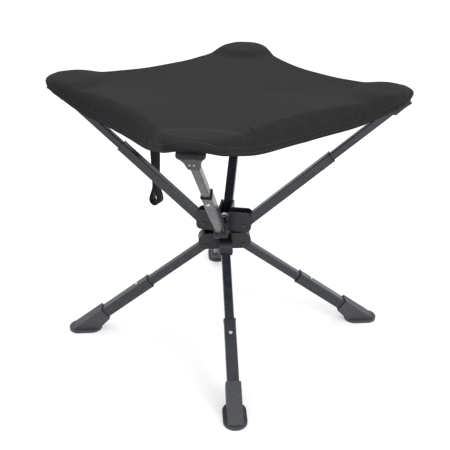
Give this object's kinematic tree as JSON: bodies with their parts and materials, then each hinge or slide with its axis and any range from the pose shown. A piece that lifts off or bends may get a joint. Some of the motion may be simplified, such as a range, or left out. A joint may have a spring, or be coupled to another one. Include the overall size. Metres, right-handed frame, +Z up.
{
  "type": "folding camp stool",
  "caption": "Folding camp stool: a square cloth seat on telescoping arms above splayed telescoping legs, all hinged on a central hub.",
  "frame": {"origin": "on the floor under the centre of the hub, at the middle of the object's base", "axes": "+Z up, arms along X and Y, legs turned 12 degrees from the arms"},
  "size_m": [0.5712, 0.5712, 0.4512],
  "materials": {
    "hub_plastic": "moulded, fine texture",
    "cup_plastic": "moulded, fine texture",
    "collar_plastic": "moulded",
    "tube": "satin anodised grey",
    "steel": "plated",
    "dark_steel": "black plated",
    "foot_rubber": "matt",
    "seat_cloth": "coated polyester weave",
    "webbing": "polyester webbing"
  },
  "bodies": {
    "hub": {"hub_upper": "hub_plastic", "hub_lower": "hub_plastic", "hub_bolt": "steel", "hub_nut": "steel", "arm_pivot_rivets": "dark_steel", "leg_pivot_rivets": "dark_steel"},
    "arm_outer_right": {"arm_outer_right": "tube", "arm_collar_right": "collar_plastic"},
    "arm_inner_right": {"arm_inner_right": "tube", "cup_right": "cup_plastic", "cup_rivets_right": "steel"},
    "arm_button_right": {"arm_button_right": "steel"},
    "seat_petal_right": {"seat_petal_right": "seat_cloth"},
    "arm_outer_back": {"arm_outer_back": "tube", "arm_collar_back": "collar_plastic"},
    "arm_inner_back": {"arm_inner_back": "tube", "cup_back": "cup_plastic", "cup_rivets_back": "steel"},
    "arm_button_back": {"arm_button_back": "steel"},
    "seat_petal_back": {"seat_petal_back": "seat_cloth"},
    "arm_outer_left": {"arm_outer_left": "tube", "arm_collar_left": "collar_plastic"},
    "arm_inner_left": {"arm_inner_left": "tube", "cup_left": "cup_plastic", "cup_rivets_left": "steel"},
    "arm_button_left": {"arm_button_left": "steel"},
    "seat_petal_left": {"seat_petal_left": "seat_cloth"},
    "arm_outer_front": {"arm_outer_front": "tube", "arm_collar_front": "collar_plastic"},
    "arm_inner_front": {"arm_inner_front": "tube", "cup_front": "cup_plastic", "cup_rivets_front": "steel"},
    "arm_button_front": {"arm_button_front": "steel"},
    "seat_petal_front": {"seat_petal_front": "seat_cloth"},
    "strap": {"strap": "webbing"},
    "leg_upper_right": {"leg_upper_right": "tube"},
    "leg_lower_right": {"leg_lower_right": "tube", "leg_collar_right": "collar_plastic", "foot_right": "foot_rubber"},
    "leg_button_right": {"leg_button_right": "steel"},
    "leg_upper_back": {"leg_upper_back": "tube"},
    "leg_lower_back": {"leg_lower_back": "tube", "leg_collar_back": "collar_plastic", "foot_back": "foot_rubber"},
    "leg_button_back": {"leg_button_back": "steel"},
    "leg_upper_left": {"leg_upper_left": "tube"},
    "leg_lower_left": {"leg_lower_left": "tube", "leg_collar_left": "collar_plastic", "foot_left": "foot_rubber"},
    "leg_button_left": {"leg_button_left": "steel"},
    "leg_upper_front": {"leg_upper_front": "tube"},
    "leg_lower_front": {"leg_lower_front": "tube", "leg_collar_front": "collar_plastic", "foot_front": "foot_rubber"},
    "leg_button_front": {"leg_button_front": "steel"}
  },
  "joints": [
    {"name": "arm_fold_right", "type": "hinge", "parent": "hub", "child": "arm_outer_right", "pos_m": [0.034, 0, 0.2071], "axis": [0, -1, 0], "range_deg": [0, 34]},
    {"name": "arm_slide_right", "type": "slide", "parent": "arm_outer_right", "child": "arm_inner_right", "axis": [-0.7302, 0, -0.6833], "range_m": [0, 0.1], "deforming": ["arm_button_right"]},
    {"name": "arm_button_press_right", "type": "slide", "parent": "arm_inner_right", "child": "arm_button_right", "axis": [-0.6833, 0, 0.7302], "range_m": [0, 0.0035], "stiffness_N_per_m": 900, "springref_m": -0.002},
    {"name": "seat_fold_right", "type": "hinge", "parent": "arm_inner_right", "child": "seat_petal_right", "pos_m": [0.212, 0, 0.438], "axis": [0, -1, 0], "range_deg": [0, 40.96], "deforming": ["seat_petal_right"]},
    {"name": "arm_fold_back", "type": "hinge", "parent": "hub", "child": "arm_outer_back", "pos_m": [0, 0.034, 0.2071], "axis": [1, 0, 0], "range_deg": [0, 34]},
    {"name": "arm_slide_back", "type": "slide", "parent": "arm_outer_back", "child": "arm_inner_back", "axis": [0, -0.7302, -0.6833], "range_m": [0, 0.1], "deforming": ["arm_button_back"]},
    {"name": "arm_button_press_back", "type": "slide", "parent": "arm_inner_back", "child": "arm_button_back", "axis": [0, -0.6833, 0.7302], "range_m": [0, 0.0035], "stiffness_N_per_m": 900, "springref_m": -0.002},
    {"name": "seat_fold_back", "type": "hinge", "parent": "arm_inner_back", "child": "seat_petal_back", "pos_m": [0, 0.212, 0.438], "axis": [1, 0, 0], "range_deg": [0, 40.96], "deforming": ["seat_petal_back"]},
    {"name": "arm_fold_left", "type": "hinge", "parent": "hub", "child": "arm_outer_left", "pos_m": [-0.034, 0, 0.2071], "axis": [0, 1, 0], "range_deg": [0, 34]},
    {"name": "arm_slide_left", "type": "slide", "parent": "arm_outer_left", "child": "arm_inner_left", "axis": [0.7302, 0, -0.6833], "range_m": [0, 0.1], "deforming": ["arm_button_left"]},
    {"name": "arm_button_press_left", "type": "slide", "parent": "arm_inner_left", "child": "arm_button_left", "axis": [0.6833, 0, 0.7302], "range_m": [0, 0.0035], "stiffness_N_per_m": 900, "springref_m": -0.002},
    {"name": "seat_fold_left", "type": "hinge", "parent": "arm_inner_left", "child": "seat_petal_left", "pos_m": [-0.212, 0, 0.438], "axis": [0, 1, 0], "range_deg": [0, 40.96], "deforming": ["seat_petal_left"]},
    {"name": "arm_fold_front", "type": "hinge", "parent": "hub", "child": "arm_outer_front", "pos_m": [0, -0.034, 0.2071], "axis": [-1, 0, 0], "range_deg": [0, 34]},
    {"name": "arm_slide_front", "type": "slide", "parent": "arm_outer_front", "child": "arm_inner_front", "axis": [0, 0.7302, -0.6833], "range_m": [0, 0.1], "deforming": ["arm_button_front"]},
    {"name": "arm_button_press_front", "type": "slide", "parent": "arm_inner_front", "child": "arm_button_front", "axis": [0, 0.6833, 0.7302], "range_m": [0, 0.0035], "stiffness_N_per_m": 900, "springref_m": -0.002},
    {"name": "seat_fold_front", "type": "hinge", "parent": "arm_inner_front", "child": "seat_petal_front", "pos_m": [0, -0.212, 0.438], "axis": [-1, 0, 0], "range_deg": [0, 40.96], "deforming": ["seat_petal_front"]},
    {"name": "strap_hang", "type": "hinge", "parent": "seat_petal_left", "child": "strap", "pos_m": [-0.131, 0.052, 0.435], "axis": [0, 1, 0], "range_deg": [-74.96, 0], "deforming": ["strap"]},
    {"name": "leg_fold_right", "type": "hinge", "parent": "hub", "child": "leg_upper_right", "pos_m": [0.0313, 0.00665, 0.1679], "axis": [-0.2079, 0.9781, 0], "range_deg": [0, 50]},
    {"name": "leg_slide_right", "type": "slide", "parent": "leg_upper_right", "child": "leg_lower_right", "axis": [-0.7888, -0.1677, 0.5913], "range_m": [0, 0.085], "deforming": ["leg_button_right"]},
    {"name": "leg_button_press_right", "type": "slide", "parent": "leg_upper_right", "child": "leg_button_right", "axis": [-0.5784, -0.1229, -0.8064], "range_m": [0, 0.0035], "stiffness_N_per_m": 900, "springref_m": -0.002},
    {"name": "leg_fold_back", "type": "hinge", "parent": "hub", "child": "leg_upper_back", "pos_m": [-0.00665, 0.0313, 0.1679], "axis": [-0.9781, -0.2079, 0], "range_deg": [0, 50]},
    {"name": "leg_slide_back", "type": "slide", "parent": "leg_upper_back", "child": "leg_lower_back", "axis": [0.1677, -0.7888, 0.5913], "range_m": [0, 0.085], "deforming": ["leg_button_back"]},
    {"name": "leg_button_press_back", "type": "slide", "parent": "leg_upper_back", "child": "leg_button_back", "axis": [0.1229, -0.5784, -0.8064], "range_m": [0, 0.0035], "stiffness_N_per_m": 900, "springref_m": -0.002},
    {"name": "leg_fold_left", "type": "hinge", "parent": "hub", "child": "leg_upper_left", "pos_m": [-0.0313, -0.00665, 0.1679], "axis": [0.2079, -0.9781, 0], "range_deg": [0, 50]},
    {"name": "leg_slide_left", "type": "slide", "parent": "leg_upper_left", "child": "leg_lower_left", "axis": [0.7888, 0.1677, 0.5913], "range_m": [0, 0.085], "deforming": ["leg_button_left"]},
    {"name": "leg_button_press_left", "type": "slide", "parent": "leg_upper_left", "child": "leg_button_left", "axis": [0.5784, 0.1229, -0.8064], "range_m": [0, 0.0035], "stiffness_N_per_m": 900, "springref_m": -0.002},
    {"name": "leg_fold_front", "type": "hinge", "parent": "hub", "child": "leg_upper_front", "pos_m": [0.00665, -0.0313, 0.1679], "axis": [0.9781, 0.2079, 0], "range_deg": [0, 50]},
    {"name": "leg_slide_front", "type": "slide", "parent": "leg_upper_front", "child": "leg_lower_front", "axis": [-0.1677, 0.7888, 0.5913], "range_m": [0, 0.085], "deforming": ["leg_button_front"]},
    {"name": "leg_button_press_front", "type": "slide", "parent": "leg_upper_front", "child": "leg_button_front", "axis": [-0.1229, 0.5784, -0.8064], "range_m": [0, 0.0035], "stiffness_N_per_m": 900, "springref_m": -0.002}
  ],
  "couplings": [
    {"joint": "seat_fold_right", "follows": "arm_fold_right", "ratio": 1.19},
    {"joint": "arm_fold_back", "follows": "arm_fold_right", "ratio": 1},
    {"joint": "arm_slide_back", "follows": "arm_slide_right", "ratio": 1},
    {"joint": "seat_fold_back", "follows": "arm_fold_right", "ratio": 1.19},
    {"joint": "arm_fold_left", "follows": "arm_fold_right", "ratio": 1},
    {"joint": "arm_slide_left", "follows": "arm_slide_right", "ratio": 1},
    {"joint": "seat_fold_left", "follows": "arm_fold_right", "ratio": 1.19},
    {"joint": "arm_fold_front", "follows": "arm_fold_right", "ratio": 1},
    {"joint": "arm_slide_front", "follows": "arm_slide_right", "ratio": 1},
    {"joint": "seat_fold_front", "follows": "arm_fold_right", "ratio": 1.19},
    {"joint": "strap_hang", "follows": "arm_fold_right", "ratio": -2.19}
  ]
}
